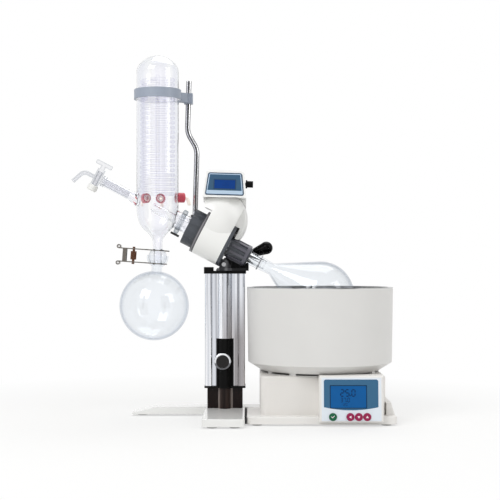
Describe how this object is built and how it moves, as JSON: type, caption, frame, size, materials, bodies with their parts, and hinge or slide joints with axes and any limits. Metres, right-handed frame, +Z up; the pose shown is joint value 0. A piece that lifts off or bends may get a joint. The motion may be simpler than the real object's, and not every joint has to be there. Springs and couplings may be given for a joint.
{
  "type": "rotary evaporator",
  "caption": "Bench rotary evaporator with a vertical coil condenser, a lifting column, a tilted drive head with a spinning flask, a receiving flask and a heated water bath.",
  "frame": {"origin": "on the bench, under the middle of the whole object", "axes": "+Z up, +X to the user's right (towards the bath), +Y away from the user"},
  "size_m": [0.6096, 0.292, 0.686],
  "materials": {
    "light_coat": "satin powder coat",
    "white_coat": "satin powder coat",
    "rubber": "matte",
    "dark_mast": "satin",
    "bolt_steel": "satin",
    "black_steel": "black oxide",
    "spring_steel": "polished",
    "stainless": "brushed",
    "column_aluminium": "satin anodised",
    "black_plastic": "fine texture",
    "chrome_ring": "polished",
    "button_metal": "satin",
    "bracket_metal": "satin",
    "slate_plastic": "satin",
    "clamp_blue": "satin",
    "rod_steel": "polished",
    "clear_glass": "clear",
    "red_caps": "gloss",
    "ivory_plastic": "satin",
    "stopcock_white": "satin",
    "stopcock_plug": "satin",
    "brass_screw": "satin",
    "console_overlay": "satin",
    "console_display": "glossy",
    "bath_overlay": "satin",
    "bath_display": "glossy",
    "green_key": "satin",
    "crimson_keys": "satin"
  },
  "bodies": {
    "root": {"stand_base": "white_coat", "rubber_feet": "rubber", "mast": "dark_mast", "mast_bolts": "bolt_steel", "gas_spring_cylinder": "spring_steel", "bath_tray": "light_coat", "bath_housing": "light_coat", "bath_bowl": "light_coat", "bath_pan": "stainless", "heater": "bolt_steel", "power_inlet": "black_plastic", "control_box": "light_coat", "control_panel": "bath_overlay", "bath_lcd": "bath_display"},
    "carriage": {"column_shell": "column_aluminium", "column_cap": "black_plastic", "gas_spring_rod": "spring_steel", "lift_grip": "black_plastic", "button_bezel": "chrome_ring", "tilt_bracket": "bracket_metal", "tilt_pin": "bolt_steel"},
    "lift_release": {"lift_button": "button_metal"},
    "lever": {"tilt_lever": "black_plastic"},
    "head": {"drive_housing": "white_coat", "rear_cover": "white_coat", "console_shell": "white_coat", "console_panel": "console_overlay", "console_lcd": "console_display", "front_flange": "slate_plastic", "rear_flange": "slate_plastic", "head_screws": "black_steel", "spindle_bearings": "bolt_steel", "drive_motor": "rod_steel", "drive_belt": "rubber", "seal_ring": "rubber", "condenser_jacket": "clear_glass", "condenser_coil": "clear_glass", "port_caps": "red_caps", "hose_nozzles": "ivory_plastic", "support_rod": "rod_steel", "condenser_clamp": "clamp_blue", "clamp_screw": "bolt_steel", "stopcock_body": "clear_glass", "stopcock_nut": "stopcock_white"},
    "knob": {"speed_knob": "black_plastic"},
    "rotating_flask": {"spindle": "rod_steel", "flask_collar": "slate_plastic", "vapour_duct": "clear_glass", "evaporating_flask": "clear_glass", "joint_clip": "spring_steel"},
    "motor_shaft": {"motor_rotor": "rod_steel"},
    "nut": {"union_nut": "slate_plastic"},
    "stopcock": {"stopcock_key": "stopcock_plug"},
    "receiver": {"receiving_flask": "clear_glass", "joint_clamp": "stainless"},
    "clamp_thumb": {"joint_clamp_screw": "brass_screw"},
    "start_button": {"start_key": "green_key"},
    "left_button": {"left_key": "crimson_keys"},
    "down_button": {"down_key": "crimson_keys"},
    "up_button": {"up_key": "crimson_keys"}
  },
  "joints": [
    {"name": "lift", "type": "slide", "parent": "root", "child": "carriage", "axis": [0, 0, 1], "range_m": [-0.025, 0.125]},
    {"name": "release_press", "type": "slide", "parent": "carriage", "child": "lift_release", "axis": [0, 1, 0], "range_m": [0, 0.002], "stiffness_N_per_m": 400},
    {"name": "lever_swing", "type": "hinge", "parent": "carriage", "child": "lever", "pos_m": [-0.01516, 0.008, 0.29], "axis": [0, 1, 0], "range_deg": [-12, 12]},
    {"name": "head_tilt", "type": "hinge", "parent": "carriage", "child": "head", "pos_m": [-0.01516, 0.008, 0.29], "axis": [0, 1, 0], "range_deg": [-10, 4]},
    {"name": "speed_turn", "type": "hinge", "parent": "head", "child": "knob", "pos_m": [0.02509, -0.002, 0.44158], "axis": [0.9996, 0, -0.0297], "range_deg": [-150, 150]},
    {"name": "flask_spin", "type": "hinge", "parent": "head", "child": "rotating_flask", "pos_m": [-0.05956, 0.008, 0.3515], "axis": [0.887, 0, -0.4617], "continuous": true},
    {"name": "motor_spin", "type": "hinge", "parent": "head", "child": "motor_shaft", "pos_m": [-0.04248, 0.008, 0.38432], "axis": [0.887, 0, -0.4617], "continuous": true},
    {"name": "nut_turn", "type": "hinge", "parent": "head", "child": "nut", "pos_m": [-0.05956, 0.008, 0.3515], "axis": [0.887, 0, -0.4617], "range_deg": [0, 270]},
    {"name": "stopcock_turn", "type": "hinge", "parent": "head", "child": "stopcock", "pos_m": [-0.25559, 0.008, 0.45355], "axis": [0.4617, 0, 0.887], "range_deg": [-90, 90]},
    {"name": "receiver_swivel", "type": "hinge", "parent": "head", "child": "receiver", "pos_m": [-0.14116, 0.008, 0.304], "axis": [0.0698, 0, 0.9976], "range_deg": [-45, 45]},
    {"name": "thumb_turn", "type": "hinge", "parent": "receiver", "child": "clamp_thumb", "pos_m": [-0.18705, 0.008, 0.30721], "axis": [0.0698, 0, 0.9976], "range_deg": [-180, 180]},
    {"name": "start_press", "type": "slide", "parent": "root", "child": "start_button", "axis": [0, 0.9976, -0.0691], "range_m": [0, 0.001], "stiffness_N_per_m": 400},
    {"name": "left_press", "type": "slide", "parent": "root", "child": "left_button", "axis": [0, 0.9976, -0.0691], "range_m": [0, 0.001], "stiffness_N_per_m": 400},
    {"name": "down_press", "type": "slide", "parent": "root", "child": "down_button", "axis": [0, 0.9976, -0.0691], "range_m": [0, 0.001], "stiffness_N_per_m": 400},
    {"name": "up_press", "type": "slide", "parent": "root", "child": "up_button", "axis": [0, 0.9976, -0.0691], "range_m": [0, 0.001], "stiffness_N_per_m": 400}
  ],
  "couplings": [
    {"joint": "motor_spin", "follows": "flask_spin", "ratio": 2.4444}
  ]
}
